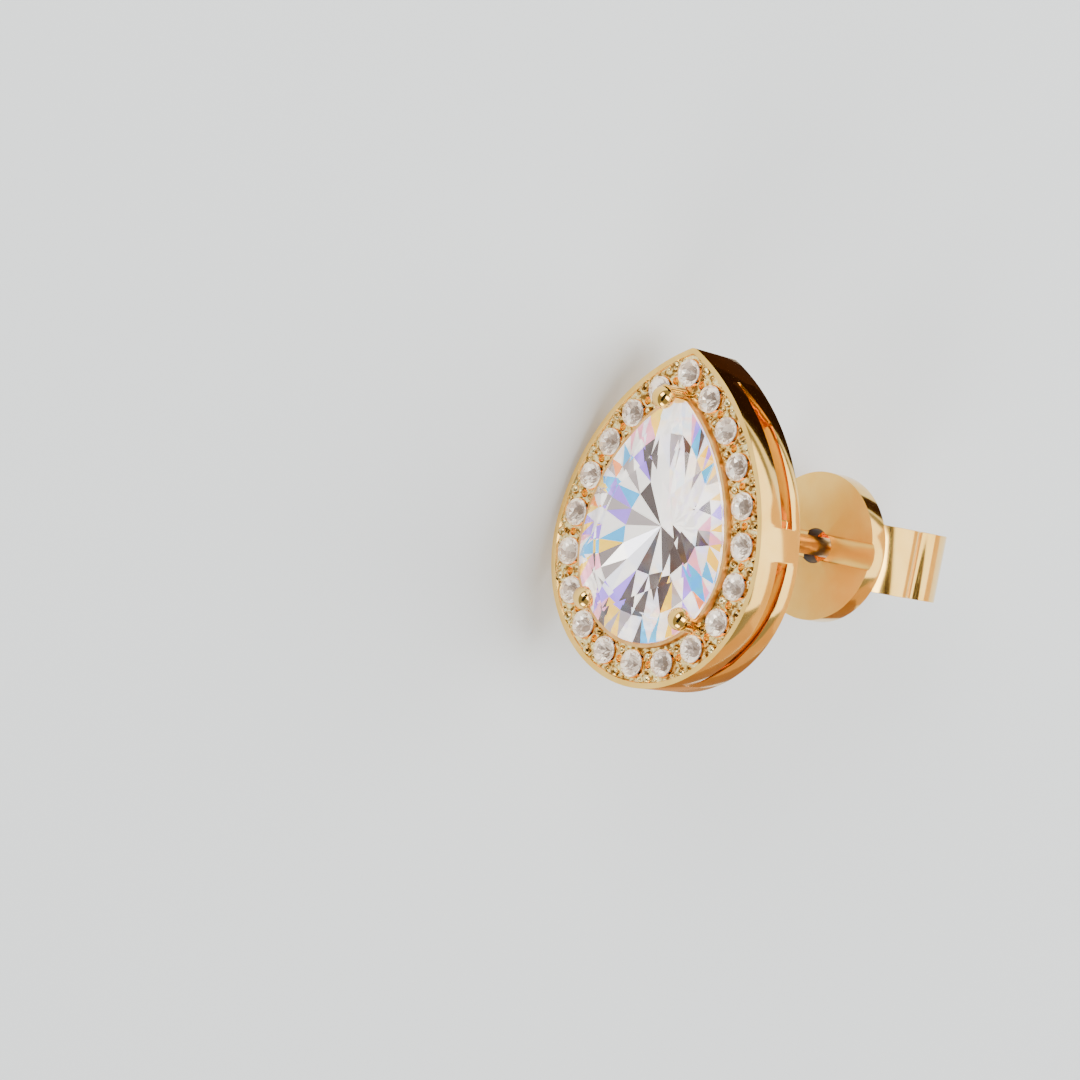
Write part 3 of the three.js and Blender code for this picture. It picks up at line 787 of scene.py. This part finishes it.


# The halo's twenty small stones: round brilliants of the same clear stone, each in its own seat and
# pinched by the grains beside it.
# Their pavilion facets glow with painted reflections, as the main stone's do.
HALO_SIZES = {
    "table": 0.56, "crown": 0.16, "girdle_y": -0.02, "girdle": 0.05, "pavilion": 0.42, "meeting_z": 0,
}
HALO_EDGE_POINTS = 32
HALO_SPARKLE_HUES = [
    # the painted reflections, light and dark, that a ring's glowing facets draw from, one row a ring from
    # the girdle down
    [(0.84, 0.75, 0.60, 1), (0.60, 0.45, 0.30, 1), (0.80, 0.71, 0.58, 1), (0.44, 0.33, 0.24, 1)],
    [(0.84, 0.77, 0.66, 1), (0.28, 0.21, 0.16, 1), (0.80, 0.73, 0.63, 1), (0.42, 0.34, 0.27, 1)],
    [(0.16, 0.12, 0.09, 1), (0.48, 0.41, 0.34, 1), (0.26, 0.20, 0.16, 1)],
]
halo_turns = [2 * math.pi * i / HALO_EDGE_POINTS for i in range(HALO_EDGE_POINTS)]
halo_edge = [
    (HALO_DIAMETER / 2 * math.sin(turn), HALO_DIAMETER / 2 * math.cos(turn)) for turn in halo_turns
]


def halo_sparkle(ring):
    return glitter.choice(HALO_SPARKLE_HUES[ring])


for number, (x, z) in enumerate(halo_places, start=1):
    points, faces = brilliant(halo_edge, HALO_SIZES, x, z)
    small = cut_stone(f"halo_gem_{number:02d}", points, faces, halo_sparkle, clear, facet)
    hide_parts(f"halo_stone_{number:02d}")


# The butterfly back: a thick round disc with a groove pressed across its front, and one strip of gold
# on each side that is rolled in behind it, so that the two rolls grip the post between them.
LOBE_GAP = 6.1
DISC_RADIUS, DISC_THICKNESS, HOLE_RADIUS = 2.75, 0.75, 0.65
DISC_SIDES, BORE_ROUNDING = 96, 0.1
GROOVE_WIDTH, GROOVE_DEPTH, GROOVE_ARC_STEPS = 1.0, 0.2, 12
STRIP_THICKNESS, STRIP_HEIGHT = 0.34, 2.5
SCROLL_SPAN, SCROLL_LENGTH, SCROLL_POST_GAP = 4.9, 4.65, 0.07
SCROLL_TURN, SCROLL_TIGHTEN, SCROLL_STEPS = math.radians(290), 0.45, 120
CREASE_ANGLE, CREASE_WIDTH, CREASE_DEPTH = math.radians(96), math.radians(11), 0.2

disc_front = HEAD_DEPTH + BOSS_HEIGHT + LOBE_GAP
disc_rear = disc_front + DISC_THICKNESS
disc = joined("disc", [lathe([
    (HOLE_RADIUS, disc_front), (DISC_RADIUS, disc_front), (DISC_RADIUS, disc_rear),
    (HOLE_RADIUS, disc_rear), (HOLE_RADIUS, disc_front),
], DISC_SIDES, 0, POST_HEIGHT)])
groove = []
for end in (-DISC_RADIUS - 1, DISC_RADIUS + 1):
    arc = []
    for i in range(GROOVE_ARC_STEPS + 1):
        angle = math.pi * i / GROOVE_ARC_STEPS
        arc.append((end, disc_front + GROOVE_DEPTH * math.sin(angle),
                    POST_HEIGHT + GROOVE_WIDTH / 2 * math.cos(angle)))
    arc += [(end, disc_front - 1, POST_HEIGHT - GROOVE_WIDTH / 2),
            (end, disc_front - 1, POST_HEIGHT + GROOVE_WIDTH / 2)]
    groove.append(arc)
carve(disc, [loft(groove)])
soften(disc, 0.16, 5)

stamped, haze, place = speckled("stamped_gold", 1.0, 900.0, 3.0, [
    (0.35, (0.98, 0.60, 0.12, 1)), (0.65, (1.0, 0.68, 0.18, 1)),
])
stamped.drive("Roughness", haze * 0.1 + 0.3)

# The bore's walls are painted near black: painted shade in the narrow gap between the post and the hole.
bore, haze, place = speckled("painted_shade_bore", 0.6, 2500.0, 2.0, [
    (0.35, (0.02, 0.008, 0.004, 1)), (0.65, (0.06, 0.025, 0.01, 1)),
])
bore.drive("Roughness", haze * 0.2 + 0.35)

STAMPED, BORE = 1, 2
for face in disc.data.polygons:
    from_axis = math.hypot(face.center.x, face.center.z - POST_HEIGHT)
    # the bore's walls and their rounded edges take the painted shade
    if from_axis < HOLE_RADIUS + BORE_ROUNDING:
        face.material_index = BORE
    elif face.normal.y < -0.5:
        face.material_index = STAMPED


def scroll(side):
    """A strip of gold that leaves the disc's rear, rolls outwards and back, and has a crease along it."""
    half = STRIP_THICKNESS / 2
    inner = POST_RADIUS + SCROLL_POST_GAP + half
    outer = SCROLL_SPAN / 2 - half
    centre_x, radius_x = (inner + outer) / 2, (outer - inner) / 2
    radius_y = (SCROLL_LENGTH - STRIP_THICKNESS) / 2
    centre_y = disc_rear - 0.03 + half + radius_y
    path = [Vector((HOLE_RADIUS + half, centre_y - radius_y))]
    for i in range(SCROLL_STEPS + 1):
        angle = SCROLL_TURN * i / SCROLL_STEPS
        past = max(0, angle - math.pi) / (SCROLL_TURN - math.pi)
        size = 1 - SCROLL_TIGHTEN * past
        crease = CREASE_DEPTH * math.exp(-((angle - CREASE_ANGLE) / CREASE_WIDTH) ** 2)
        path.append(Vector((
            centre_x + radius_x * math.sin(angle) * size - crease,
            centre_y - radius_y * math.cos(angle) * size,
        )))
    low, high = POST_HEIGHT - STRIP_HEIGHT / 2, POST_HEIGHT + STRIP_HEIGHT / 2
    sections = []
    for i, point in enumerate(path):
        ahead = (path[min(i + 1, len(path) - 1)] - path[max(i - 1, 0)]).normalized()
        cross = Vector((-ahead.y, ahead.x)) * half
        near, far = point - cross, point + cross
        sections.append([
            (side * near.x, near.y, low), (side * far.x, far.y, low),
            (side * far.x, far.y, high), (side * near.x, near.y, high),
        ])
    return loft(sections)


scrolls = joined("scrolls", [scroll(1), scroll(-1)])
soften(scrolls, 0.05, 3)
metal = bmesh.new()
for part in (disc, scrolls):
    metal.from_mesh(part.data)
    bpy.data.objects.remove(part)
nut_mesh = bpy.data.meshes.new("butterfly_back")
metal.to_mesh(nut_mesh)
metal.free()
for finish in (gold, stamped, bore):
    nut_mesh.materials.append(finish.material)
nut = finished_object("butterfly_back", nut_mesh)
settle(nut)
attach(nut, "nut")
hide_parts("ear_nut")
